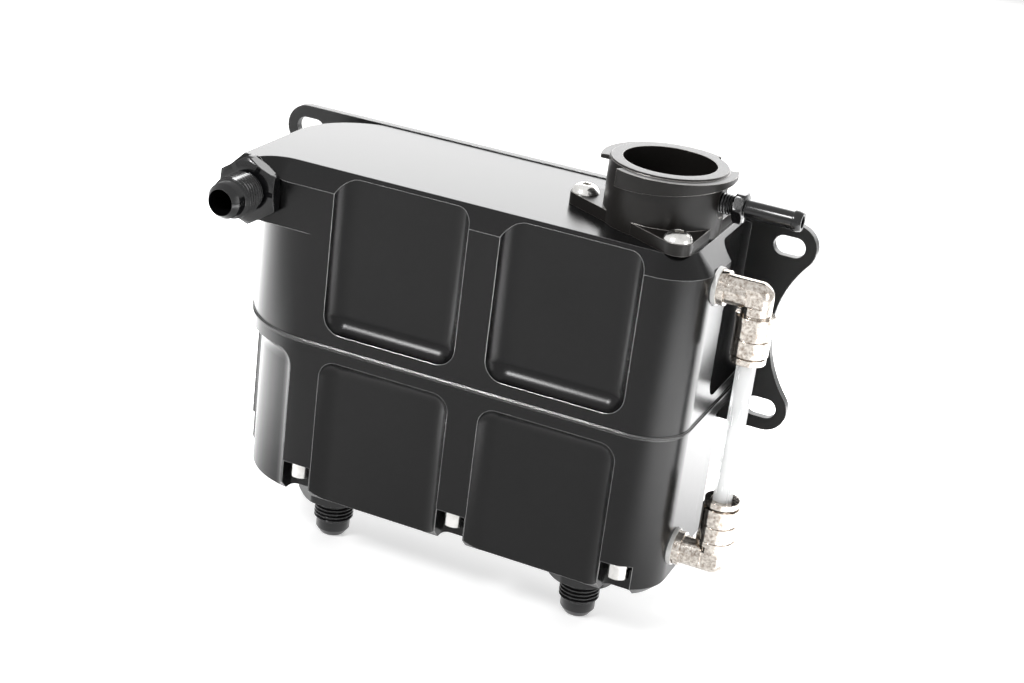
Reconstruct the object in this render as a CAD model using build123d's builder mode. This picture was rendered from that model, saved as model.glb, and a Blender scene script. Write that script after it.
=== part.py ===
"""Coolant tank: two machined halves with a filler neck, flare fittings, a sight tube and a bracket.

Millimetres. X runs to the right along the front, Y to the back and Z up. The origin lies on the
bracket's back face, level with the seam between the halves and behind the middle rib.
"""
import os
from math import atan2, cos, degrees, radians, sin, sqrt

from build123d import *

# Body plan
body_depth = 64.0
left_end = -95.2
right_end = 72.8
end_overrun = 2.8           # how far the left end's half circle would run past the back
right_radius = 16.3
rib_pitch = 60.0
rib_width = 11.1
end_rib_edge = 6.3          # left edge of the first rib, left of its middle

# Body heights and walls
upper_height = 61.0
lower_height = 58.2
top_bevel = 6.27
bottom_chamfer = 3.4
seam_chamfer = 0.3
seam_lip = 0.7              # how far the upper half's rim stands out at the seam
seam_lip_height = 0.9
wall = 10.5
top_thickness = 8.0
floor_thickness = 12.0
cavity_back_radius = 15.0
cavity_corner_radius = 6.0

# Machined pockets
ball_radius = 7.1
upper_pocket_depth = 5.0
lower_pocket_depth = 3.5
upper_pocket_floor = 5.6    # lower edge above the seam
lower_pocket_lip = 4.6      # upper edge below the seam
upper_end_land = 32.0       # land on the right end, from the front
lower_end_land = 42.7
upper_end_pocket = 34.4     # width of the right-hand end pocket

# Corner boss for the side fitting
boss_height = 22.2          # from the tank's top down to the ledge
bevel_cutter_radius = 12.0
bevel_runout = 72.8         # axis of the bevel's rounded end, left of the middle rib

# Seal and screws between the halves
seal_inset = 8.4
seal_section = 1.8
seal_side_room = 0.1
seal_corner_radius = 8.0
seal_back_radius = 18.0
screw_inset = 4.2
screw_diameter = 4.8
screw_hole_clearance = 0.3
screw_head_diameter = 7.8
screw_head_height = 5.2
screw_socket = 4.0
screw_socket_depth = 2.4
screw_engagement = 12.0
screw_tip_room = 1.0
notch_width = 10.5
notch_corner = 2.5
notch_room = 0.3            # behind the screw heads
notch_seat = 46.3           # seat of the screw heads below the seam

# Filler neck
neck_x = 47.0
neck_y = 33.8               # from the front face
neck_bore_radius = 15.35
neck_radius = 19.5
neck_cam_radius = 22.3
neck_height = 21.0          # above the tank's top
neck_plate = 4.0
neck_screw_radius = 27.0
neck_corner_radius = 5.0
neck_edge = 0.5
cam_step = 0.7              # cams below the neck's rim
cam_sweep = 140.0
cam_start = 240.0           # angle of the deep end of the front cam
cam_deep = 6.5
cam_shallow = 2.0
mouth_step = 0.25           # tank's mouth wider than the neck's bore
neck_seal_radius = 16.9
neck_seal_section = 1.7
neck_screw_diameter = 5.0
neck_screw_head = 9.5
neck_screw_head_height = 2.75
neck_screw_dome = 4.0       # flat on top of the domed head
neck_screw_length = 11.0
neck_screw_socket = 3.0
neck_screw_socket_depth = 1.6

# Overflow barb in the neck
barb_z = 11.4               # above the tank's top
barb_thread_radius = 3.4
barb_thread_clearance = 0.05
barb_shoulder = 4.2
barb_face = 0.5             # depth of the round flat under the barb
barb_face_radius = 5.0
barb_hex = 9.5
barb_hex_length = 3.4
barb_radius = 3.0
barb_length = 18.8
barb_bead_radius = 3.45
barb_bead_length = 3.0
barb_bore_radius = 2.0

# Flare fittings
fitting_hex = 20.6
fitting_hex_length = 5.0
fitting_thread_radius = 7.14
fitting_thread_length = 10.6
fitting_nose_radius = 6.1
fitting_nose_length = 3.4
fitting_nose_angle = 37.0
fitting_mouth_radius = 4.5
fitting_bore_radius = 4.4
fitting_spigot_length = 9.5
fitting_spigot_clearance = 0.06
fitting_seal_section = 1.8
side_fitting_x = -84.6
side_fitting_drop = 11.3    # below the tank's top
side_fitting_turn = 33.5
outlet_hex = 24.0
outlet_hex_length = 8.2
outlet_thread_length = 9.5
outlet_turn = -20.0
outlet_left_x = -56.0
outlet_right_x = 41.3
outlet_y = 24.5             # from the front face
port_tip_room = 0.5

# Sight tube and its push-in elbows
tube_offset = 13.8          # tube axis beyond the right end
tube_y = 20.0               # from the front face
tube_diameter = 6.35
tube_bore = 4.4
upper_port_z = 50.0
lower_port_z = -43.5
port_thread_radius = 4.8
port_thread_length = 7.0
port_bore_radius = 2.4
washer_radius = 6.3
washer_thickness = 1.5
spot_face_depth = 0.3
elbow_collar_radius = 5.8
elbow_collar_length = 2.4
elbow_radius = 4.9
elbow_flange_radius = 6.45
elbow_flange_start = 6.2    # from the port axis along the leg
elbow_flange_length = 1.6
elbow_leg_radius = 6.1
elbow_leg_end = 19.4
elbow_flat = 4.1            # flats on the bend, from the leg's axis
elbow_flat_width = 6.0
elbow_groove_start = 13.2
elbow_groove_length = 0.8
elbow_groove_depth = 0.4
tube_stop = 5.2
tube_socket_clearance = 0.08
chamber_radius = 4.95
chamber_start = 11.5
tube_seal_section = 1.6
grip_ring_thickness = 1.0
grip_ring_start = 13.8
grip_ring_clearance = 0.05
release_travel = 0.6
release_stop_room = 0.1
release_slide_clearance = 0.33
release_flange_radius = 5.8
release_flange_length = 2.0

# Bracket
bracket_thickness = 3.0
slot_spacing_x = 182.6
slot_spacing_z = 59.0
slot_middle_x = -8.05
slot_lower_z = -5.6
slot_width = 7.0
slot_length = 11.0
tab_radius = 8.0
tab_overhang = 1.4          # tab centre beyond the slot centre
bracket_waist = 82.2        # narrowest half of the plate's right side, from the middle rib
bracket_screw_xs = (-58.0, 42.0)
bracket_screw_zs = (16.0, 48.0)
bracket_screw_diameter = 5.0
bracket_screw_head = 9.0
bracket_screw_socket = 3.0
bracket_screw_socket_depth = 1.5
bracket_screw_length = 10.0

# Places that follow from the sizes above
back_y = -bracket_thickness
front_y = back_y - body_depth
left_radius = (body_depth + end_overrun) / 2
boss_right = left_end + left_radius
boss_ledge = upper_height - boss_height
side_fitting_z = upper_height - side_fitting_drop
end_axis = (boss_right, front_y + left_radius)
rib_xs = (-rib_pitch, 0.0, rib_pitch)
pocket_width = rib_pitch - rib_width
pocket_xs = (-rib_pitch / 2, rib_pitch / 2)
notch_depth = screw_inset + screw_head_diameter / 2 + notch_room
tank_mouth_radius = neck_bore_radius + mouth_step
screw_places = [(x, front_y + screw_inset) for x in rib_xs]
screw_places += [(x, back_y - screw_inset) for x in rib_xs]
screw_places += [(left_end + screw_inset, end_axis[1])]
neck_place = (neck_x, front_y + neck_y)
neck_corners = [(neck_screw_radius * cos(radians(turn)), neck_screw_radius * sin(radians(turn)))
                for turn in (60, 180, 300)]
neck_screw_places = [(neck_x + x, front_y + neck_y + y) for x, y in neck_corners]
tube_x = right_end + tube_offset
tube_depth = front_y + tube_y
bracket_back = Plane((0, 0, 0), x_dir=(1, 0, 0), z_dir=(0, 1, 0))
bracket_screw_places = [(x, -z) for x in bracket_screw_xs for z in bracket_screw_zs]
overcut = 10.0              # how far cutting shapes reach past a face


def write(piece, label):
    """Name a finished piece and write it to its own file."""
    piece.label = label
    export_step(piece, f"parts/{label}.step")


def body_plan(inset, back, front_left, back_left, front_right):
    """Plan inside the body's walls, with rounded left corners and a rounded right front corner."""
    front = front_y + inset
    with BuildSketch() as plan:
        with Locations(((left_end + right_end) / 2, (front + back) / 2)):
            Rectangle(right_end - left_end - 2 * inset, back - front)
        fillet(plan.vertices().group_by(Axis.X)[0].sort_by(Axis.Y)[0], front_left)
        fillet(plan.vertices().group_by(Axis.X)[0].sort_by(Axis.Y)[-1], back_left)
        fillet(plan.vertices().group_by(Axis.X)[-1].sort_by(Axis.Y)[0], front_right)
    return plan.sketch


def pocket_cutter(face_width, depth, height):
    """Pocket left by a ball-nosed cutter, open at the top, with its mouth in the local XZ plane."""
    run_in = ball_radius - sqrt(ball_radius**2 - (ball_radius - depth) ** 2)
    with BuildPart() as cutter:
        with Locations((0, depth, -run_in)):
            Box(face_width + 2 * run_in, ball_radius + overcut, height + run_in,
                align=(Align.CENTER, Align.MAX, Align.MIN))
        floor_sides = cutter.edges().filter_by(Axis.Z).group_by(Axis.Y)[-1]
        floor_end = cutter.edges().filter_by(Axis.X).group_by(Axis.Y)[-1].sort_by(Axis.Z)[0]
        end_corners = cutter.edges().filter_by(Axis.Y).group_by(Axis.Z)[0]
        fillet(floor_sides + end_corners + [floor_end], ball_radius)
    return cutter.part


def end_pocket_cutter():
    """Pocket round the left end of the lower half, between the first rib and the end rib."""
    floor_radius = left_radius - lower_pocket_depth
    run_in = ball_radius - sqrt(ball_radius**2 - (ball_radius - lower_pocket_depth) ** 2)
    right_wall = -rib_pitch - end_rib_edge + run_in
    back_wall = end_axis[1] - rib_width / 2 + run_in
    reach = left_radius + overcut
    with BuildPart() as cutter:
        with BuildSketch(Plane.XY.offset(-lower_height - overcut)):
            with Locations(end_axis):
                Circle(reach)
                Circle(floor_radius, mode=Mode.SUBTRACT)
            with Locations((right_wall, back_wall)):
                Rectangle(2 * reach, 2 * reach, align=Align.MAX, mode=Mode.INTERSECT)
        extrude(amount=lower_height + overcut - lower_pocket_lip + run_in)
        floor_rim = cutter.edges().filter_by(GeomType.CIRCLE).group_by(Axis.Z)[-1].sort_by(SortBy.RADIUS)[0]
        floor_sides = cutter.edges().filter_by(Axis.Z).sort_by_distance(Vector(*end_axis, 0))[:2]
        top_corners = cutter.edges().filter_by(GeomType.LINE).group_by(Axis.Z)[-1]
        fillet(floor_sides + top_corners + [floor_rim], ball_radius)
    return cutter.part


def port(seat, spigot_radius, spigot_length, bore_radius, bore_length, face_radius, face_depth):
    """Stepped port to be cut into a wall: spot face, spigot hole and bore, along the plane's -Z."""
    with BuildPart(seat) as cutter:
        Cylinder(face_radius, face_depth + overcut, align=(Align.CENTER, Align.CENTER, Align.MIN))
        with Locations((0, 0, -face_depth)):
            Cylinder(face_radius, face_depth, align=(Align.CENTER, Align.CENTER, Align.MIN))
        Cylinder(spigot_radius, spigot_length, align=(Align.CENTER, Align.CENTER, Align.MAX))
        Cylinder(bore_radius, bore_length, align=(Align.CENTER, Align.CENTER, Align.MAX))
    return cutter.part


# Planes on which the fittings sit, each with its normal pointing out of the tank
side_seat = Plane((side_fitting_x, front_y, side_fitting_z), x_dir=(1, 0, 0), z_dir=(0, -1, 0))
left_outlet_seat = Plane((outlet_left_x, front_y + outlet_y, -lower_height), (1, 0, 0), (0, 0, -1))
right_outlet_seat = Plane((outlet_right_x, front_y + outlet_y, -lower_height), (1, 0, 0), (0, 0, -1))
upper_port_seat = Plane((right_end, tube_depth, upper_port_z), x_dir=(0, 1, 0), z_dir=(1, 0, 0))
lower_port_seat = Plane((right_end, tube_depth, lower_port_z), x_dir=(0, 1, 0), z_dir=(1, 0, 0))
fitting_seal_radius = fitting_thread_radius + fitting_seal_section / 2
fitting_hole_radius = fitting_thread_radius + fitting_spigot_clearance
fitting_groove_radius = fitting_seal_radius + fitting_seal_section / 2 + seal_side_room
fitting_hole_length = fitting_spigot_length + port_tip_room

outer_plan = body_plan(0, back_y + top_bevel + seam_chamfer, left_radius, left_radius, right_radius)
cavity_plan = body_plan(wall, back_y - wall, left_radius - wall, cavity_back_radius, cavity_corner_radius)
seal_plan = body_plan(seal_inset, back_y - seal_inset, left_radius - seal_inset, seal_back_radius,
                      seal_corner_radius)

os.makedirs("parts", exist_ok=True)

# Upper half: bevelled shell with a rim at the seam, front pockets, an end pocket and the corner boss
with BuildPart() as upper_half:
    with BuildSketch():
        add(outer_plan)
    extrude(amount=upper_height)
    chamfer(upper_half.faces().sort_by(Axis.Z)[-1].edges(), top_bevel)
    with BuildSketch():
        offset(outer_plan, amount=seam_lip, kind=Kind.INTERSECTION)
    extrude(amount=seam_lip_height)
    chamfer(upper_half.faces().sort_by(Axis.Z)[0].edges(), seam_chamfer)
    with BuildSketch(Plane.XZ.offset(-front_y)):
        with BuildLine():
            Polyline((left_end, boss_ledge), (boss_right, boss_ledge), (boss_right, upper_height),
                     (left_end + top_bevel, upper_height), (left_end, upper_height - top_bevel), close=True)
        make_face()
    extrude(amount=-left_radius)
    with BuildSketch(Plane.YZ.offset(-bevel_runout)):
        with BuildLine():
            Polyline((front_y, upper_height - top_bevel), (front_y + top_bevel, upper_height),
                     (front_y, upper_height), close=True)
        make_face()
    extrude(amount=boss_right + bevel_runout + overcut, mode=Mode.SUBTRACT)
    with Locations((-bevel_runout, front_y + top_bevel - bevel_cutter_radius, upper_height)):
        Cone(bevel_cutter_radius - top_bevel, bevel_cutter_radius, top_bevel,
             align=(Align.CENTER, Align.CENTER, Align.MAX), mode=Mode.SUBTRACT)
    with Locations(((left_end + right_end) / 2, back_y, 0)):
        Box(2 * (right_end - left_end), body_depth, 3 * upper_height,
            align=(Align.CENTER, Align.MIN, Align.CENTER), mode=Mode.SUBTRACT)
    with BuildSketch():
        add(cavity_plan)
    extrude(amount=upper_height - top_thickness, mode=Mode.SUBTRACT)
    front_cutter = pocket_cutter(pocket_width, upper_pocket_depth, upper_height)
    for x in pocket_xs:
        pocket_place = Plane((x, front_y, upper_pocket_floor), x_dir=(1, 0, 0), z_dir=(0, 0, 1))
        add(front_cutter.moved(pocket_place.location), mode=Mode.SUBTRACT)
    end_middle = front_y + upper_end_land + upper_end_pocket / 2
    pocket_place = Plane((right_end, end_middle, upper_pocket_floor), x_dir=(0, 1, 0), z_dir=(0, 0, 1))
    end_cutter = pocket_cutter(upper_end_pocket, upper_pocket_depth, upper_height)
    add(end_cutter.moved(pocket_place.location), mode=Mode.SUBTRACT)
    add(port(side_seat, fitting_hole_radius, fitting_hole_length, fitting_bore_radius,
             left_radius + fitting_bore_radius, fitting_groove_radius, fitting_seal_section),
        mode=Mode.SUBTRACT)
    add(port(upper_port_seat, port_thread_radius + fitting_spigot_clearance, port_thread_length,
             port_bore_radius, wall + overcut, washer_radius + spot_face_depth, spot_face_depth),
        mode=Mode.SUBTRACT)
    with Locations((*neck_place, upper_height)):
        Cylinder(tank_mouth_radius, 2 * top_thickness + overcut, mode=Mode.SUBTRACT)
    with Locations([(*place, upper_height) for place in neck_screw_places]):
        Cylinder(neck_screw_diameter / 2, neck_screw_length - neck_plate + screw_tip_room,
                 align=(Align.CENTER, Align.CENTER, Align.MAX), mode=Mode.SUBTRACT)
    with Locations([(*place, 0) for place in screw_places]):
        Cylinder(screw_diameter / 2, screw_engagement + screw_tip_room,
                 align=(Align.CENTER, Align.CENTER, Align.MIN), mode=Mode.SUBTRACT)
    with Locations(Plane.XZ.offset(-back_y)):
        with Locations([(x, z) for x in bracket_screw_xs for z in bracket_screw_zs]):
            Cylinder(bracket_screw_diameter / 2, bracket_screw_length - bracket_thickness + screw_tip_room,
                     align=(Align.CENTER, Align.CENTER, Align.MIN), mode=Mode.SUBTRACT)
write(upper_half.part, "upper_half")

# Lower half: shell with front pockets, end pockets, screw notches, seal groove and ports
with BuildPart() as lower_half:
    with BuildSketch(Plane.XY.offset(-lower_height)):
        add(outer_plan)
    extrude(amount=lower_height)
    chamfer(lower_half.faces().sort_by(Axis.Z)[0].edges(), bottom_chamfer)
    chamfer(lower_half.faces().sort_by(Axis.Z)[-1].edges(), seam_chamfer)
    with Locations(((left_end + right_end) / 2, back_y, 0)):
        Box(2 * (right_end - left_end), body_depth, 3 * lower_height,
            align=(Align.CENTER, Align.MIN, Align.CENTER), mode=Mode.SUBTRACT)
    with BuildSketch():
        add(cavity_plan)
    extrude(amount=-(lower_height - floor_thickness), mode=Mode.SUBTRACT)
    front_cutter = pocket_cutter(pocket_width, lower_pocket_depth, lower_height)
    for x in pocket_xs:
        pocket_place = Plane((x, front_y, -lower_pocket_lip), x_dir=(-1, 0, 0), z_dir=(0, 0, -1))
        add(front_cutter.moved(pocket_place.location), mode=Mode.SUBTRACT)
    lower_end_pocket = 2 * (body_depth - lower_end_land)
    pocket_place = Plane((right_end, back_y, -lower_pocket_lip), x_dir=(0, -1, 0), z_dir=(0, 0, -1))
    end_cutter = pocket_cutter(lower_end_pocket, lower_pocket_depth, lower_height)
    add(end_cutter.moved(pocket_place.location), mode=Mode.SUBTRACT)
    add(end_pocket_cutter(), mode=Mode.SUBTRACT)
    groove_half = (seal_section + seal_side_room) / 2
    with BuildSketch():
        offset(seal_plan, amount=groove_half, kind=Kind.INTERSECTION)
        offset(seal_plan, amount=-groove_half, kind=Kind.INTERSECTION, mode=Mode.SUBTRACT)
    extrude(amount=-seal_section, mode=Mode.SUBTRACT)
    for seat in (left_outlet_seat, right_outlet_seat):
        add(port(seat, fitting_hole_radius, fitting_hole_length, fitting_bore_radius,
                 floor_thickness + overcut, fitting_groove_radius, fitting_seal_section), mode=Mode.SUBTRACT)
    add(port(lower_port_seat, port_thread_radius + fitting_spigot_clearance, port_thread_length,
             port_bore_radius, wall + overcut, washer_radius + spot_face_depth, spot_face_depth),
        mode=Mode.SUBTRACT)
    with Locations([(*place, 0) for place in screw_places]):
        Cylinder((screw_diameter + screw_hole_clearance) / 2, 2 * lower_height, mode=Mode.SUBTRACT)
    with BuildSketch(Plane.XY.offset(-notch_seat)):
        for x in rib_xs:
            with Locations((x, front_y), (x, back_y)):
                RectangleRounded(notch_width, 2 * notch_depth, notch_corner)
        with Locations((left_end, end_axis[1])):
            RectangleRounded(2 * notch_depth, notch_width, notch_corner)
    extrude(amount=-lower_height, mode=Mode.SUBTRACT)
write(lower_half.part, "lower_half")

# Square-section seal ring in the groove between the halves
with BuildPart() as body_seal:
    with BuildSketch():
        offset(seal_plan, amount=seal_section / 2, kind=Kind.INTERSECTION)
        offset(seal_plan, amount=-seal_section / 2, kind=Kind.INTERSECTION, mode=Mode.SUBTRACT)
    extrude(amount=-seal_section)
write(body_seal.part, "body_seal")

# Cap screws that clamp the halves, heads up in the notches
with BuildPart() as body_screws:
    with Locations([(*place, -notch_seat) for place in screw_places]):
        Cylinder(screw_diameter / 2, notch_seat + screw_engagement,
                 align=(Align.CENTER, Align.CENTER, Align.MIN))
        Cylinder(screw_head_diameter / 2, screw_head_height, align=(Align.CENTER, Align.CENTER, Align.MAX))
    with BuildSketch(Plane.XY.offset(-notch_seat - screw_head_height)):
        with Locations(screw_places):
            RegularPolygon(screw_socket / 2, 6, major_radius=False)
    extrude(amount=screw_socket_depth, mode=Mode.SUBTRACT)
write(body_screws.part, "body_screws")

# Filler neck: three-cornered plate, barrel and two cams with a sloping underside
neck_top = upper_height + neck_height
cam_chord = 2 * neck_cam_radius * sin(radians(cam_sweep / 2))
cam_tilt = degrees(atan2(cam_deep - cam_shallow, cam_chord))
cam_middle = cam_start + cam_sweep / 2
with BuildPart() as cam:
    with BuildSketch(Plane.XY.offset(neck_top - cam_deep)):
        with BuildLine():
            outer = CenterArc((0, 0), neck_cam_radius, cam_start, cam_sweep)
            Line(outer @ 1, (0, 0))
            Line((0, 0), outer @ 0)
        make_face()
        Circle(neck_bore_radius, mode=Mode.SUBTRACT)
    extrude(amount=cam_deep - cam_step)
    under_middle = Vector(0, 0, neck_top - (cam_deep + cam_shallow) / 2)
    chord = Vector(1, 0, 0).rotate(Axis.Z, cam_middle + 90)
    slope = chord * cos(radians(cam_tilt)) + Vector(0, 0, sin(radians(cam_tilt)))
    across = Vector(1, 0, 0).rotate(Axis.Z, cam_middle)
    split(bisect_by=Plane(under_middle, x_dir=across, z_dir=across.cross(slope)), keep=Keep.TOP)

barb_axis_z = upper_height + barb_z
with BuildPart() as filler_neck:
    with BuildSketch(Plane((*neck_place, upper_height))):
        with Locations(neck_corners):
            Circle(neck_corner_radius)
        make_hull()
    extrude(amount=neck_plate)
    with Locations((*neck_place, upper_height)):
        Cylinder(neck_radius, neck_height, align=(Align.CENTER, Align.CENTER, Align.MIN))
    for turn in (0, 180):
        add(cam.part.rotate(Axis.Z, turn).moved(Location((*neck_place, 0))))
    chamfer(filler_neck.faces().sort_by(Axis.Z)[-1].edges(), neck_edge)
    with Locations((*neck_place, upper_height)):
        Cylinder(neck_bore_radius, 3 * neck_height, mode=Mode.SUBTRACT)
        Cylinder(neck_seal_radius + neck_seal_section / 2 + seal_side_room / 2, 2 * neck_seal_section,
                 mode=Mode.SUBTRACT)
    with Locations([(*place, upper_height) for place in neck_screw_places]):
        Cylinder((neck_screw_diameter + screw_hole_clearance) / 2, 3 * neck_plate, mode=Mode.SUBTRACT)
    with BuildSketch(Plane((*neck_place, upper_height))):
        Circle(neck_seal_radius - neck_seal_section / 2 - seal_side_room / 2)
        Circle(neck_bore_radius, mode=Mode.SUBTRACT)
    extrude(amount=neck_seal_section)
    with Locations(Plane((neck_x, neck_place[1], barb_axis_z), x_dir=(0, 1, 0), z_dir=(1, 0, 0))):
        Cylinder(barb_thread_radius + barb_thread_clearance, neck_radius + overcut,
                 align=(Align.CENTER, Align.CENTER, Align.MIN), mode=Mode.SUBTRACT)
    with Locations(Plane((neck_x + neck_radius - barb_face, neck_place[1], barb_axis_z), (0, 1, 0), (1, 0, 0))):
        Cylinder(barb_face_radius, overcut, align=(Align.CENTER, Align.CENTER, Align.MIN), mode=Mode.SUBTRACT)
write(filler_neck.part, "filler_neck")

with BuildPart() as neck_seal:
    with Locations((*neck_place, upper_height + neck_seal_section / 2)):
        Torus(neck_seal_radius, neck_seal_section / 2)
write(neck_seal.part, "neck_seal")

# Button-head screws of the neck
with BuildPart() as neck_screw:
    with BuildSketch(Plane.XZ):
        with BuildLine():
            Polyline((0, -neck_screw_length), (neck_screw_diameter / 2, -neck_screw_length),
                     (neck_screw_diameter / 2, 0), (neck_screw_head / 2, 0))
            dome = RadiusArc((neck_screw_head / 2, 0), (neck_screw_dome / 2, neck_screw_head_height),
                             -neck_screw_head_height * sqrt(2))
            Polyline(dome @ 1, (0, neck_screw_head_height), (0, -neck_screw_length))
        make_face()
    revolve(axis=Axis.Z)
    with BuildSketch(Plane.XY.offset(neck_screw_head_height)):
        RegularPolygon(neck_screw_socket / 2, 6, major_radius=False)
    extrude(amount=-neck_screw_socket_depth, mode=Mode.SUBTRACT)
with BuildPart() as neck_screws:
    with Locations([(*place, upper_height + neck_plate) for place in neck_screw_places]):
        add(neck_screw.part)
write(neck_screws.part, "neck_screws")

# Overflow barb, screwed into the neck's side
barb_start = neck_x + neck_bore_radius + seal_side_room
barb_hex_start = neck_x + neck_radius + barb_shoulder
barb_end = barb_hex_start + barb_hex_length + barb_length
barb_plane = Plane((0, neck_place[1], barb_axis_z), x_dir=(0, 1, 0), z_dir=(1, 0, 0))
with BuildPart() as overflow_barb:
    with BuildSketch(Plane((0, neck_place[1], barb_axis_z), x_dir=(1, 0, 0), z_dir=(0, -1, 0))):
        with BuildLine():
            Polyline((barb_start, 0), (barb_start, barb_thread_radius), (barb_hex_start, barb_thread_radius),
                     (barb_hex_start, barb_radius), (barb_end - barb_bead_length, barb_radius),
                     (barb_end - barb_bead_length, barb_bead_radius),
                     (barb_end - barb_bead_length / 2, barb_bead_radius), (barb_end, barb_radius),
                     (barb_end, 0), close=True)
        make_face()
    revolve(axis=Axis((0, neck_place[1], barb_axis_z), (1, 0, 0)))
    with BuildSketch(barb_plane.offset(barb_hex_start)):
        RegularPolygon(barb_hex / 2, 6, major_radius=False)
    extrude(amount=barb_hex_length)
    with Locations(barb_plane.offset(barb_start)):
        Cylinder(barb_bore_radius, 3 * (barb_end - barb_start), mode=Mode.SUBTRACT)
write(overflow_barb.part, "overflow_barb")


def flare_fitting(seat, hex_width, hex_length, thread_length, turn):
    """Flare fitting with its hex on the seat, its spigot in the port and its nose along the normal."""
    thread_end = hex_length + thread_length
    cone_start = thread_end + fitting_nose_length
    cone_length = (fitting_nose_radius - fitting_mouth_radius) / sin(radians(fitting_nose_angle))
    cone_length *= cos(radians(fitting_nose_angle))
    with BuildPart() as fitting:
        with BuildSketch(Plane.XZ):
            with BuildLine():
                Polyline((0, -fitting_spigot_length), (fitting_thread_radius, -fitting_spigot_length),
                         (fitting_thread_radius, thread_end), (fitting_nose_radius, thread_end),
                         (fitting_nose_radius, cone_start), (fitting_mouth_radius, cone_start + cone_length),
                         (0, cone_start + cone_length), close=True)
            make_face()
        revolve(axis=Axis.Z)
        with BuildSketch():
            RegularPolygon(hex_width / 2, 6, major_radius=False, rotation=turn)
        extrude(amount=hex_length)
        Cylinder(fitting_bore_radius, 4 * cone_start, mode=Mode.SUBTRACT)
    return fitting.part.moved(seat.location)


def fitting_seal(seat):
    """Ring under a fitting's hex, in the groove of its port."""
    with BuildPart() as ring:
        with Locations((0, 0, -fitting_seal_section / 2)):
            Torus(fitting_seal_radius, fitting_seal_section / 2)
    return ring.part.moved(seat.location)


side_sizes = (fitting_hex, fitting_hex_length, fitting_thread_length, side_fitting_turn)
outlet_sizes = (outlet_hex, outlet_hex_length, outlet_thread_length, outlet_turn)
fittings = {
    "side_fitting": (side_seat, side_sizes),
    "left_outlet": (left_outlet_seat, outlet_sizes),
    "right_outlet": (right_outlet_seat, outlet_sizes),
}
for name, (seat, sizes) in fittings.items():
    write(flare_fitting(seat, *sizes), name)
    write(fitting_seal(seat), f"{name}_seal")

# Push-in elbow: port along X from the wall, leg along -Z
elbow_start = washer_thickness - spot_face_depth
with BuildPart() as elbow:
    along_x = (0, 90, 0)
    with Locations(Location((-spot_face_depth - port_thread_length + port_tip_room, 0, 0), along_x)):
        Cylinder(port_thread_radius, port_thread_length - port_tip_room + washer_thickness,
                 align=(Align.CENTER, Align.CENTER, Align.MIN))
    with Locations(Location((elbow_start, 0, 0), along_x)):
        Cylinder(elbow_collar_radius, elbow_collar_length, align=(Align.CENTER, Align.CENTER, Align.MIN))
        Cylinder(elbow_radius, tube_offset - elbow_start, align=(Align.CENTER, Align.CENTER, Align.MIN))
    with Locations((tube_offset, 0, 0)):
        Sphere(elbow_radius)
        Cylinder(elbow_radius, elbow_flange_start, align=(Align.CENTER, Align.CENTER, Align.MAX))
    with Locations((tube_offset, -elbow_flat, 0)):
        Box(elbow_flat_width, overcut, elbow_flat_width, align=(Align.CENTER, Align.MAX, Align.CENTER),
            mode=Mode.SUBTRACT)
    with Locations((tube_offset, elbow_flat, 0)):
        Box(elbow_flat_width, overcut, elbow_flat_width, align=(Align.CENTER, Align.MIN, Align.CENTER),
            mode=Mode.SUBTRACT)
    with Locations((tube_offset, 0, -elbow_flange_start)):
        Cylinder(elbow_flange_radius, elbow_flange_length, align=(Align.CENTER, Align.CENTER, Align.MAX))
        Cylinder(elbow_leg_radius, elbow_leg_end - elbow_flange_start,
                 align=(Align.CENTER, Align.CENTER, Align.MAX))
    with BuildSketch(Plane((tube_offset, 0, -elbow_groove_start))):
        Circle(elbow_flange_radius)
        Circle(elbow_leg_radius - elbow_groove_depth, mode=Mode.SUBTRACT)
    extrude(amount=-elbow_groove_length, mode=Mode.SUBTRACT)
    with Locations(Location((-port_thread_length - overcut, 0, 0), along_x)):
        Cylinder(port_bore_radius, port_thread_length + overcut + tube_offset,
                 align=(Align.CENTER, Align.CENTER, Align.MIN), mode=Mode.SUBTRACT)
    with Locations((tube_offset, 0, 0)):
        Cylinder(port_bore_radius, elbow_leg_end, align=(Align.CENTER, Align.CENTER, Align.MAX),
                 mode=Mode.SUBTRACT)
    with Locations((tube_offset, 0, -tube_stop)):
        Cylinder(tube_diameter / 2 + tube_socket_clearance, elbow_leg_end,
                 align=(Align.CENTER, Align.CENTER, Align.MAX), mode=Mode.SUBTRACT)
    with Locations((tube_offset, 0, -chamber_start)):
        Cylinder(chamber_radius, elbow_leg_end, align=(Align.CENTER, Align.CENTER, Align.MAX),
                 mode=Mode.SUBTRACT)

tube_radius = tube_diameter / 2
release_gap = release_travel + release_stop_room
with BuildPart() as elbow_washer:
    with Locations(Location((-spot_face_depth, 0, 0), along_x)):
        Cylinder(washer_radius, washer_thickness, align=(Align.CENTER, Align.CENTER, Align.MIN))
        Cylinder(port_thread_radius + fitting_spigot_clearance, 3 * washer_thickness, mode=Mode.SUBTRACT)

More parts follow.
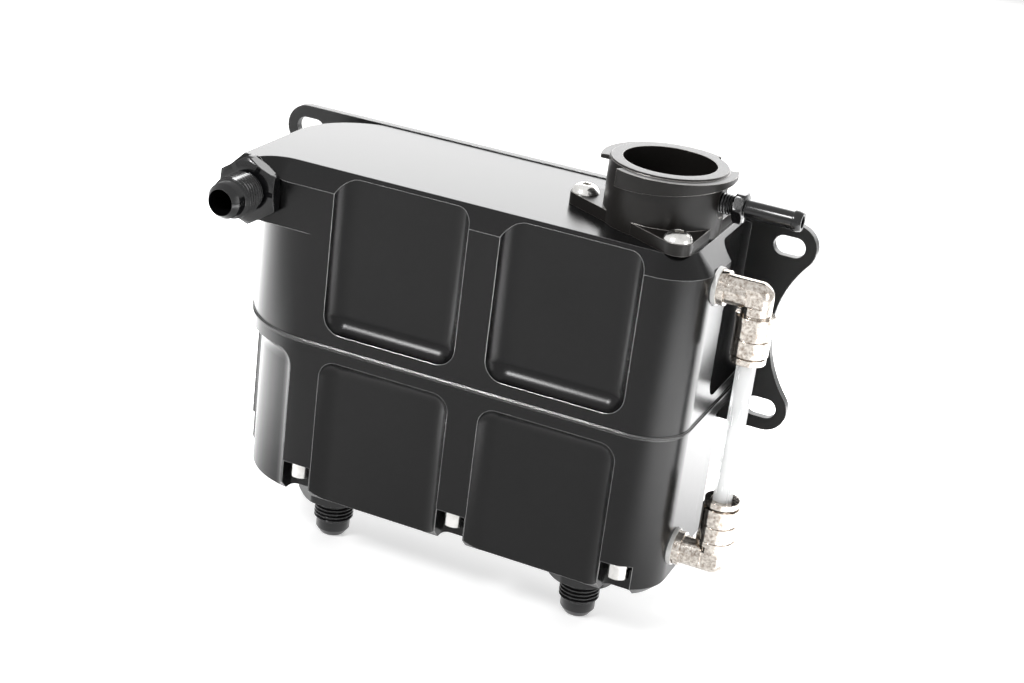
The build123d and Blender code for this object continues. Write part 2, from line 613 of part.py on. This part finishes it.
# Inside the elbow's leg: seal, grip ring and the release ring that presses the grip open
with BuildPart() as tube_seal:
    with Locations((tube_offset, 0, -chamber_start - tube_seal_section / 2)):
        Torus((tube_radius + chamber_radius) / 2, min(tube_seal_section, chamber_radius - tube_radius) / 2)
with BuildPart() as grip_ring:
    with Locations((tube_offset, 0, -grip_ring_start)):
        Cylinder(chamber_radius - grip_ring_clearance, grip_ring_thickness,
                 align=(Align.CENTER, Align.CENTER, Align.MAX))
        Cylinder(tube_radius + grip_ring_clearance, 4 * grip_ring_thickness, mode=Mode.SUBTRACT)
release_end = elbow_leg_end + release_gap + release_flange_length
release_start = grip_ring_start + grip_ring_thickness + release_gap
with BuildPart() as release_ring:
    with Locations((tube_offset, 0, -release_start)):
        Cylinder(chamber_radius - release_slide_clearance, release_end - release_start,
                 align=(Align.CENTER, Align.CENTER, Align.MAX))
    with Locations((tube_offset, 0, -elbow_leg_end - release_gap)):
        Cylinder(release_flange_radius, release_flange_length, align=(Align.CENTER, Align.CENTER, Align.MAX))
    with Locations((tube_offset, 0, -release_start)):
        Cylinder(tube_radius + release_slide_clearance, 4 * release_end, mode=Mode.SUBTRACT)

elbow_pieces = {
    "elbow": elbow.part,
    "elbow_washer": elbow_washer.part,
    "tube_seal": tube_seal.part,
    "grip_ring": grip_ring.part,
    "release_ring": release_ring.part,
}
upper_port = Location((right_end, tube_depth, upper_port_z))
lower_port = Location((right_end, tube_depth, lower_port_z))
for name, piece in elbow_pieces.items():
    write(piece.moved(upper_port), f"upper_{name}")
    write(piece.mirror(Plane.XY).moved(lower_port), f"lower_{name}")

# Sight tube between the two elbows
tube_top = upper_port_z - tube_stop
tube_bottom = lower_port_z + tube_stop
with BuildPart() as sight_tube:
    with Locations((tube_x, tube_depth, tube_bottom)):
        Cylinder(tube_radius, tube_top - tube_bottom, align=(Align.CENTER, Align.CENTER, Align.MIN))
        Cylinder(tube_bore / 2, 4 * tube_top, mode=Mode.SUBTRACT)
write(sight_tube.part, "sight_tube")

# Bracket: flat plate with four slotted tabs and hollowed sides
tab_x = slot_spacing_x / 2 + tab_overhang
slot_upper_z = slot_lower_z + slot_spacing_z
half_height = slot_spacing_z / 2
waist = bracket_waist - slot_middle_x
side_radius = ((waist - tab_x) ** 2 + half_height**2 - tab_radius**2) / (2 * (tab_radius - waist + tab_x))
side_turn = degrees(atan2(half_height, waist + side_radius - tab_x))
with BuildPart() as bracket:
    with BuildSketch(Plane((slot_middle_x, 0, slot_lower_z + half_height), x_dir=(1, 0, 0), z_dir=(0, -1, 0))):
        with BuildLine():
            Line((0, half_height + tab_radius), (tab_x, half_height + tab_radius))
            CenterArc((tab_x, half_height), tab_radius, 90, -90 - side_turn)
            CenterArc((waist + side_radius, 0), side_radius, 180 - side_turn, 2 * side_turn)
            CenterArc((tab_x, -half_height), tab_radius, side_turn, -90 - side_turn)
            Line((tab_x, -half_height - tab_radius), (0, -half_height - tab_radius))
            mirror(about=Plane.YZ)
        make_face()
        with GridLocations(slot_spacing_x, slot_spacing_z, 2, 2):
            SlotOverall(slot_length, slot_width, mode=Mode.SUBTRACT)
    extrude(amount=bracket_thickness)
    with Locations(bracket_back):
        with Locations(bracket_screw_places):
            CounterSinkHole((bracket_screw_diameter + screw_hole_clearance) / 2,
                            (bracket_screw_head + screw_hole_clearance) / 2, counter_sink_angle=90)
write(bracket.part, "bracket")

# Countersunk screws that hold the bracket to the upper half, flush with the bracket's back
with BuildPart() as bracket_screw:
    with BuildSketch(Plane.XZ):
        with BuildLine():
            Polyline((0, 0), (bracket_screw_head / 2, 0),
                     (bracket_screw_diameter / 2, -(bracket_screw_head - bracket_screw_diameter) / 2),
                     (bracket_screw_diameter / 2, -bracket_screw_length), (0, -bracket_screw_length), close=True)
        make_face()
    revolve(axis=Axis.Z)
    with BuildSketch():
        RegularPolygon(bracket_screw_socket / 2, 6, major_radius=False)
    extrude(amount=-bracket_screw_socket_depth, mode=Mode.SUBTRACT)
with BuildPart() as bracket_screws:
    with Locations(bracket_back):
        with Locations(bracket_screw_places):
            add(bracket_screw.part)
write(bracket_screws.part, "bracket_screws")
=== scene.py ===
"""Looks of the coolant tank: materials with painted highlights along their edges, turned fittings, studio
and camera.
"""
import math

import bmesh
import bpy
from mathutils import Matrix, Vector


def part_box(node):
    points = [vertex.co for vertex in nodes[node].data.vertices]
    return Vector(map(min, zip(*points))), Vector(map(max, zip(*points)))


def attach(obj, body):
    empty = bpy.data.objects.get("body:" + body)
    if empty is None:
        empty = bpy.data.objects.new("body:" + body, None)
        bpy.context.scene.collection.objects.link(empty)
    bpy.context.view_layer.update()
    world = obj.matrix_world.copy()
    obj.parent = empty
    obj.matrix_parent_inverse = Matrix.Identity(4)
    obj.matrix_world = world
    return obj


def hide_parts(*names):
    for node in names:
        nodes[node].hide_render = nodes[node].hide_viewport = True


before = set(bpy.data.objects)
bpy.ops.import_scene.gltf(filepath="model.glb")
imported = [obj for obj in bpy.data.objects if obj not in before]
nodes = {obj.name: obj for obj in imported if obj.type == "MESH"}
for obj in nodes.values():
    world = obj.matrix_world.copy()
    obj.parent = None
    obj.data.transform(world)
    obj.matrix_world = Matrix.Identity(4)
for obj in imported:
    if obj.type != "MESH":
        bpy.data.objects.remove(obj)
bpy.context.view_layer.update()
scene = bpy.context.scene
MM = 0.001

# Turned pieces: lengths and radii in millimetres, turns in degrees
FLARE_BORE = 4.4
FLARE_SPIGOT = 7.1
FLARE_SPIGOT_LENGTH = 9.5
FLARE_CREST = 7.14
FLARE_THREAD_DEPTH = 0.86
FLARE_PITCH = 1.411
FLARE_NOSE = 6.1
SIDE_FITTING = (20.6, 33.5, 5.0, 15.6)      # hexagon width, its turn, hexagon end and thread end
SIDE_FITTING_PLACE = (-84.6, -67, 49.7)
OUTLET = (24.0, -20, 8.2, 17.7)             # the same four values for both outlets
OUTLET_PLACES = {"left_outlet": (-56, -42.5, -58.2), "right_outlet": (41.3, -42.5, -58.2)}
BARB_PLACE = (0, -33.2, 72.4)
BARB_BORE = 2.0
BARB_STEM = 3.0
BARB_BEAD = 3.45
BARB_START = 62.45
BARB_HEX_WIDTH = 9.5
BARB_HEX_START = 70.7
BARB_HEX_END = 74.1
BARB_CREST = 3.4
BARB_THREAD_DEPTH = 0.32
BARB_PITCH = 0.95
BARB_SEGMENTS = 72
NUT_FACE = 0.985                            # radius of a nut's end face, as a share of half its width
NUT_SLOPE = 0.62                            # height of the turned-off corners per millimetre of radius
NUT_STEPS = 6
THREAD_STEPS = 9                            # rows in one pitch
SHARP_ANGLE = 38

# Studio: lengths in metres, brightness as a share of white
FLOOR_GAP = 0.0002
FLOOR_HALF = 6
FLOOR_GLOW = 0.45
WORLD_LIGHT = 0.45

# Camera: focal length and picture width in pixels, sensor width in millimetres
FOCAL_PIXELS = 1901.55
IMAGE_WIDTH = 1024
SENSOR_WIDTH = 36


# Materials


def new_material(name):
    """Empty node material with a Principled shader. Returns the material, its tree and the shader."""
    material = bpy.data.materials.new(name)
    material.use_nodes = True
    tree = material.node_tree
    return material, tree, tree.nodes["Principled BSDF"]


def noise(tree, scale, detail=4.0, rough=0.55, stretch=(1, 1, 1)):
    """Noise texture in object coordinates, in waves per metre, stretched along the axes."""
    coordinate = tree.nodes.new("ShaderNodeTexCoord").outputs["Object"]
    mapping = tree.nodes.new("ShaderNodeMapping")
    mapping.inputs["Scale"].default_value = stretch
    tree.links.new(coordinate, mapping.inputs["Vector"])
    texture = tree.nodes.new("ShaderNodeTexNoise")
    texture.inputs["Scale"].default_value = scale
    texture.inputs["Detail"].default_value = detail
    texture.inputs["Roughness"].default_value = rough
    tree.links.new(mapping.outputs["Vector"], texture.inputs["Vector"])
    return texture.outputs["Fac"]


def spread(tree, value, low, high, start=0.3, end=0.7):
    """Value mapped from start..end to low..high."""
    node = tree.nodes.new("ShaderNodeMapRange")
    node.inputs["From Min"].default_value = start
    node.inputs["From Max"].default_value = end
    node.inputs["To Min"].default_value = low
    node.inputs["To Max"].default_value = high
    tree.links.new(value, node.inputs["Value"])
    return node.outputs["Result"]


def ramp(tree, value, stops):
    """Colour ramp through (position, colour) stops."""
    node = tree.nodes.new("ShaderNodeValToRGB")
    elements = node.color_ramp.elements
    while len(elements) < len(stops):
        elements.new(0.5)
    for element, (position, colour) in zip(elements, stops):
        element.position = position
        element.color = (*colour, 1)
    tree.links.new(value, node.inputs["Fac"])
    return node.outputs["Color"]


def bump(tree, shader, height, strength, distance, normal):
    """Bump from a height value on top of a normal, with the distance in metres."""
    node = tree.nodes.new("ShaderNodeBump")
    node.inputs["Strength"].default_value = strength
    node.inputs["Distance"].default_value = distance
    tree.links.new(height, node.inputs["Height"])
    tree.links.new(normal, node.inputs["Normal"])
    tree.links.new(node.outputs["Normal"], shader.inputs["Normal"])


def rounded(tree, width):
    """Normal of edges rounded over a width in millimetres, and a mask that is 1 along those edges."""
    node = tree.nodes.new("ShaderNodeBevel")
    node.samples = 4
    node.inputs["Radius"].default_value = width * MM
    geometry = tree.nodes.new("ShaderNodeNewGeometry")
    match = tree.nodes.new("ShaderNodeVectorMath")
    match.operation = "DOT_PRODUCT"
    tree.links.new(node.outputs["Normal"], match.inputs[0])
    tree.links.new(geometry.outputs["Normal"], match.inputs[1])
    return node.outputs["Normal"], spread(tree, match.outputs["Value"], 1.0, 0.0, 0.86, 0.985)


def mixed(tree, factor, first, second):
    """Blend from a colour socket to a fixed colour."""
    node = tree.nodes.new("ShaderNodeMix")
    node.data_type = "RGBA"
    tree.links.new(factor, node.inputs["Factor"])
    tree.links.new(first, node.inputs["A"])
    node.inputs["B"].default_value = (*second, 1)
    return node.outputs["Result"]


def coated(name, colour, rough, ior, grain, grain_depth, edge_highlight, width=0.3):
    """Dark coat on metal: fine grain, faint cloudy tone, roughness that varies and a painted highlight
    along its edges, in a lighter edge colour and with more metal there.
    """
    material, tree, shader = new_material(name)
    cloud = noise(tree, 35, 5, 0.6)
    light = tuple(1.6 * c for c in colour)
    normal, edges = rounded(tree, width)
    base = ramp(tree, cloud, [(0.35, colour), (0.7, light)])
    # Painted highlight: the edges take the lighter edge colour.
    tree.links.new(mixed(tree, edges, base, edge_highlight), shader.inputs["Base Color"])
    fine = noise(tree, grain, 3, 0.6)
    tree.links.new(spread(tree, fine, rough * 0.88, rough * 1.14), shader.inputs["Roughness"])
    # Painted highlight: the edges turn partly metallic so that they shine.
    tree.links.new(spread(tree, edges, 0.0, 0.7, 0.2, 0.8), shader.inputs["Metallic"])
    bump(tree, shader, fine, 0.25, grain_depth, normal)
    shader.inputs["IOR"].default_value = ior
    return material


def plated(name, colour, shade, rough, grain, depth, stain_and_reflection_scale=140):
    """Bare or plated metal with a fine finish and soft stains; on the nickel the fine dark stains are
    painted dark reflections.
    """
    material, tree, shader = new_material(name)
    stain_and_reflection = noise(tree, stain_and_reflection_scale, 4, 0.6)
    # Soft stains in the darker colour; on the nickel these are painted dark reflections.
    tree.links.new(ramp(tree, stain_and_reflection, [(0.3, shade), (0.62, colour)]), shader.inputs["Base Color"])
    fine = noise(tree, grain, 3, 0.6)
    tree.links.new(spread(tree, fine, rough * 0.7, rough * 1.4), shader.inputs["Roughness"])
    normal, _ = rounded(tree, 0.25)
    bump(tree, shader, fine, 0.35, depth, normal)
    shader.inputs["Metallic"].default_value = 1
    return material


# The last colour of each coat is the painted highlight along its edges.
black = coated("black_anodise", (0.0028, 0.0028, 0.0029), 0.235, 1.34, 2600, 0.000006,
               (0.55, 0.55, 0.55))
neck_black = coated("neck_black", (0.006, 0.0052, 0.0046), 0.34, 1.36, 1600, 0.00005,
                    (0.45, 0.43, 0.41))
fitting_black = coated("fitting_black", (0.003, 0.003, 0.0034), 0.17, 1.5, 2400, 0.000004,
                       (0.12, 0.12, 0.12), 0.2)
bracket_black = coated("bracket_black", (0.007, 0.007, 0.007), 0.34, 1.42, 2200, 0.00001,
                       (0.30, 0.30, 0.30), 0.35)
rubber = coated("rubber", (0.012, 0.012, 0.012), 0.6, 1.45, 1500, 0.00002, (0.02, 0.02, 0.02))
# The nickel's fine dark stains are painted reflections of the dark tank and studio.
nickel = plated("nickel", (0.66, 0.62, 0.57), (0.26, 0.21, 0.17), 0.10, 1100, 0.00004, stain_and_reflection_scale=900)
steel = plated("bright_steel", (0.80, 0.79, 0.77), (0.55, 0.54, 0.52), 0.2, 1200, 0.00002)
dark_steel = plated("dark_steel", (0.10, 0.10, 0.10), (0.05, 0.05, 0.05), 0.35, 1200, 0.00002)

washer_white, tree, shader = new_material("white_washer")
tree.links.new(ramp(tree, noise(tree, 200), [(0.3, (0.78, 0.77, 0.75)), (0.7, (0.88, 0.88, 0.87))]),
               shader.inputs["Base Color"])
tree.links.new(spread(tree, noise(tree, 900), 0.35, 0.5), shader.inputs["Roughness"])

tube_white, tree, shader = new_material("clear_tube")
milk = noise(tree, 90, stretch=(1, 1, 0.2))
tree.links.new(ramp(tree, milk, [(0.3, (0.95, 0.96, 0.96)), (0.7, (0.98, 0.98, 0.98))]),
               shader.inputs["Base Color"])
tree.links.new(spread(tree, noise(tree, 700, stretch=(1, 1, 0.1)), 0.16, 0.3), shader.inputs["Roughness"])
shader.inputs["Transmission Weight"].default_value = 0.5
shader.inputs["IOR"].default_value = 1.06
shader.inputs["Subsurface Weight"].default_value = 0.5
shader.inputs["Subsurface Radius"].default_value = (0.004, 0.004, 0.004)
shader.inputs["Subsurface Scale"].default_value = 1.0

FINISH = {
    "upper_half": black, "lower_half": black, "body_seal": rubber, "body_screws": steel,
    "filler_neck": neck_black, "neck_seal": rubber, "neck_screws": steel, "overflow_barb": fitting_black,
    "side_fitting": fitting_black, "left_outlet": fitting_black, "right_outlet": fitting_black,
    "side_fitting_seal": rubber, "left_outlet_seal": rubber, "right_outlet_seal": rubber,
    "sight_tube": tube_white, "bracket": bracket_black, "bracket_screws": dark_steel,
}
for end in ("upper", "lower"):
    FINISH[f"{end}_elbow"] = nickel
    FINISH[f"{end}_elbow_washer"] = washer_white
    FINISH[f"{end}_tube_seal"] = rubber
    FINISH[f"{end}_grip_ring"] = steel
    FINISH[f"{end}_release_ring"] = nickel

for name, obj in nodes.items():
    obj.data.materials.clear()
    obj.data.materials.append(FINISH[name])


# Turned pieces with threads


def hexagon(width, turn):
    """Radius of a hexagon's outline by angle, with a corner at the turn angle."""
    def radius(angle):
        off = (angle - math.radians(turn)) % (math.pi / 3) - math.pi / 6
        return width / 2 / math.cos(off)
    return radius


def nut_rows(width, turn, start, end):
    """Rows of a hexagon between two heights, with its corners turned off at both ends."""
    flat = hexagon(width, turn)
    face = width / 2 * NUT_FACE
    corner = width / 2 / math.cos(math.pi / 6)
    slope = (corner - face) * NUT_SLOPE
    steps = [slope * i / NUT_STEPS for i in range(NUT_STEPS + 1)]
    rows = []
    for step in steps:
        rows.append((start + step, lambda a, r=face + step / NUT_SLOPE: min(flat(a), r)))
    for step in reversed(steps):
        rows.append((end - step, lambda a, r=face + step / NUT_SLOPE: min(flat(a), r)))
    return rows


def thread_rows(crest, depth, pitch, start, end, lead):
    """Rows of a right-hand thread that runs out over a lead at both ends."""
    count = max(12, round((end - start) / pitch * THREAD_STEPS))
    rows = []
    for i in range(count + 1):
        z = start + (end - start) * i / count
        limit = crest - depth + (depth + 0.05) * min(1, (z - start) / lead, (end - z) / lead)

        def radius(angle, z=z, limit=limit):
            wave = (z / pitch - angle / math.tau) % 1.0
            tooth = min(1.0, max(0.0, 1.35 - 2.7 * abs(wave - 0.5)))
            return min(crest - depth + depth * tooth, limit)
        rows.append((z, radius))
    return rows


def turned(name, rows, place, material, node, segments=96):
    """Piece turned about its own Z axis from (height, radius) rows in millimetres, in place of a node."""
    shape = bmesh.new()
    rings = []
    for height, radius in rows:
        ring = []
        for i in range(segments):
            angle = math.tau * i / segments
            r = radius(angle) if callable(radius) else radius
            ring.append(shape.verts.new((r * math.cos(angle) * MM, r * math.sin(angle) * MM, height * MM)))
        rings.append(ring)
    for low, high in zip(rings, rings[1:] + rings[:1]):
        for i in range(segments):
            j = (i + 1) % segments
            shape.faces.new((low[i], low[j], high[j], high[i]))
    bmesh.ops.recalc_face_normals(shape, faces=shape.faces)
    mesh = bpy.data.meshes.new(name)
    shape.to_mesh(mesh)
    shape.free()
    mesh.transform(place)
    for polygon in mesh.polygons:
        polygon.use_smooth = True
    mesh.set_sharp_from_angle(angle=math.radians(SHARP_ANGLE))
    mesh.materials.append(material)
    obj = bpy.data.objects.new(name, mesh)
    scene.collection.objects.link(obj)
    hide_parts(node)
    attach(obj, "tank")


def axes(origin, x_axis, z_axis):
    """Placing matrix with its origin in millimetres."""
    x_axis, z_axis = Vector(x_axis), Vector(z_axis)
    turn = Matrix((x_axis, z_axis.cross(x_axis), z_axis)).transposed().to_4x4()
    return Matrix.Translation(Vector(origin) * MM) @ turn


def flare_rows(width, turn, hex_end, thread_end):
    """Spigot, hexagon, thread, nose and 37 degree cone of a flare fitting, and its bore."""
    foot = -FLARE_SPIGOT_LENGTH
    rows = [(foot, FLARE_BORE), (foot, 6.5), (foot + 0.6, FLARE_SPIGOT), (0, FLARE_SPIGOT)]
    rows += nut_rows(width, turn, 0, hex_end)
    rows += [(hex_end, 7.3), (hex_end + 0.05, 6.35), (hex_end + 0.9, 6.3)]
    rows += thread_rows(FLARE_CREST, FLARE_THREAD_DEPTH, FLARE_PITCH,
                        hex_end + 1.0, thread_end - 0.3, 0.8)
    nose = [(-0.15, 6.15), (0, FLARE_NOSE), (3.25, FLARE_NOSE), (3.4, 6.0), (5.4, 4.62), (5.52, 4.5),
            (5.4, FLARE_BORE)]
    return rows + [(thread_end + height, radius) for height, radius in nose]


turned("side_fitting_turned", flare_rows(*SIDE_FITTING),
       axes(SIDE_FITTING_PLACE, (1, 0, 0), (0, -1, 0)), fitting_black, "side_fitting")
for node, place in OUTLET_PLACES.items():
    turned(f"{node}_turned", flare_rows(*OUTLET), axes(place, (1, 0, 0), (0, 0, -1)), fitting_black, node)

barb_rows = [(BARB_START, BARB_BORE), (BARB_START, BARB_STEM)]
barb_rows += thread_rows(BARB_CREST, BARB_THREAD_DEPTH, BARB_PITCH,
                         BARB_START + 0.1, BARB_HEX_START - 0.3, 0.6)
barb_rows += [(BARB_HEX_START - 0.2, BARB_STEM), (BARB_HEX_START, BARB_STEM)]
barb_rows += nut_rows(BARB_HEX_WIDTH, 0, BARB_HEX_START, BARB_HEX_END)
barb_rows += [(BARB_HEX_END, 3.5), (BARB_HEX_END + 0.25, 3.05), (89.7, BARB_STEM), (89.9, 3.05),
              (90.05, 3.4), (90.4, BARB_BEAD), (91.3, BARB_BEAD), (92.7, 3.08), (92.9, 2.9),
              (92.9, 2.15), (92.75, BARB_BORE)]
turned("overflow_barb_turned", barb_rows, axes(BARB_PLACE, (0, 1, 0), (1, 0, 0)), fitting_black,
       "overflow_barb", BARB_SEGMENTS)


# Studio


def aim(lamp, name, place, target):
    """Object for a lamp at a place, turned towards a target."""
    obj = bpy.data.objects.new(name, lamp)
    scene.collection.objects.link(obj)
    obj.location = place
    obj.rotation_euler = (Vector(target) - Vector(place)).to_track_quat("-Z", "Y").to_euler()
    return obj


def softbox(name, place, target, size, strength):
    """Rectangular lamp that faces a target, with its radiance as strength."""
    lamp = bpy.data.lights.new(name, "AREA")
    lamp.shape = "RECTANGLE"
    lamp.size, lamp.size_y = size
    lamp.energy = strength * math.pi * size[0] * size[1]
    aim(lamp, name, place, target).visible_camera = False


def pool(name, place, target, half_angle, power):
    """Soft round pool of light on the floor."""
    lamp = bpy.data.lights.new(name, "SPOT")
    lamp.energy = power
    lamp.spot_size = math.radians(2 * half_angle)
    lamp.spot_blend = 1.0
    lamp.shadow_soft_size = 0.05
    aim(lamp, name, place, target)


def seen_directly(tree):
    """Value that is 1 for what the camera sees, also in a mirror or through a clear piece."""
    rays = tree.nodes.new("ShaderNodeLightPath")
    value = rays.outputs["Is Camera Ray"]
    for other in ("Is Glossy Ray", "Is Transmission Ray"):
        node = tree.nodes.new("ShaderNodeMath")
        node.operation = "MAXIMUM"
        tree.links.new(value, node.inputs[0])
        tree.links.new(rays.outputs[other], node.inputs[1])
        value = node.outputs[0]
    return value


middle = Vector((-0.01, -0.035, 0.0))
softbox("back_softbox", (-0.10, 1.05, 0.45), middle, (1.5, 0.8), 3.8)
softbox("key_softbox", (-0.35, -0.69, 0.68), middle, (0.22, 0.22), 40)
softbox("right_softbox", (1.0, -0.15, 0.25), middle, (0.5, 0.7), 2.0)
pool("right_floor_lamp", (0.34, 0.40, 0.90), (0.21, 0.20, -0.08), 13, 260)
pool("left_floor_lamp", (-0.55, 0.30, 0.90), (-0.38, 0.10, -0.08), 16, 240)
pool("front_floor_lamp", (0.50, -0.30, 0.90), (0.30, -0.12, -0.08), 11, 260)
pool("near_floor_lamp", (-0.45, -0.30, 0.60), (-0.21, -0.10, -0.08), 7, 100)

floor_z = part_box("right_outlet")[0][2] - FLOOR_GAP
mesh = bpy.data.meshes.new("floor")
shape = bmesh.new()
bmesh.ops.create_grid(shape, x_segments=1, y_segments=1, size=FLOOR_HALF)
shape.to_mesh(mesh)
shape.free()
floor = bpy.data.objects.new("floor", mesh)
scene.collection.objects.link(floor)
floor.location.z = floor_z
paper, tree, shader = new_material("white_floor")
tree.links.new(ramp(tree, noise(tree, 12), [(0.3, (0.80, 0.80, 0.80)), (0.7, (0.82, 0.82, 0.82))]),
               shader.inputs["Base Color"])
shader.inputs["Roughness"].default_value = 0.8
shader.inputs["Specular IOR Level"].default_value = 0.1
seen = seen_directly(tree)
glow = tree.nodes.new("ShaderNodeMath")
glow.operation = "MULTIPLY"
glow.inputs[1].default_value = FLOOR_GLOW
tree.links.new(seen, glow.inputs[0])
shader.inputs["Emission Color"].default_value = (1, 1, 1, 1)
tree.links.new(glow.outputs[0], shader.inputs["Emission Strength"])
mesh.materials.append(paper)

world = bpy.data.worlds.new("studio")
scene.world = world
world.use_nodes = True
tree = world.node_tree
background = tree.nodes["Background"]
tree.links.new(spread(tree, seen_directly(tree), WORLD_LIGHT, 1.0, 0, 1), background.inputs["Strength"])
background.inputs["Color"].default_value = (1, 1, 1, 1)

camera_data = bpy.data.cameras.new("camera")
camera_data.sensor_width = SENSOR_WIDTH
camera_data.lens = FOCAL_PIXELS / IMAGE_WIDTH * SENSOR_WIDTH
camera_data.clip_start = 0.01
camera = bpy.data.objects.new("camera", camera_data)
scene.collection.objects.link(camera)
to_right = Vector((0.90765, 0.40278, 0.11807))
down = Vector((0.25469, -0.30493, -0.91769))
forward = Vector((-0.33362, 0.86301, -0.37936))
camera_turn = Matrix((to_right, -down, -forward)).transposed().to_4x4()
camera.matrix_world = Matrix.Translation((0.21851, -0.59581, 0.25354)) @ camera_turn
scene.camera = camera
scene.view_settings.view_transform = "Standard"
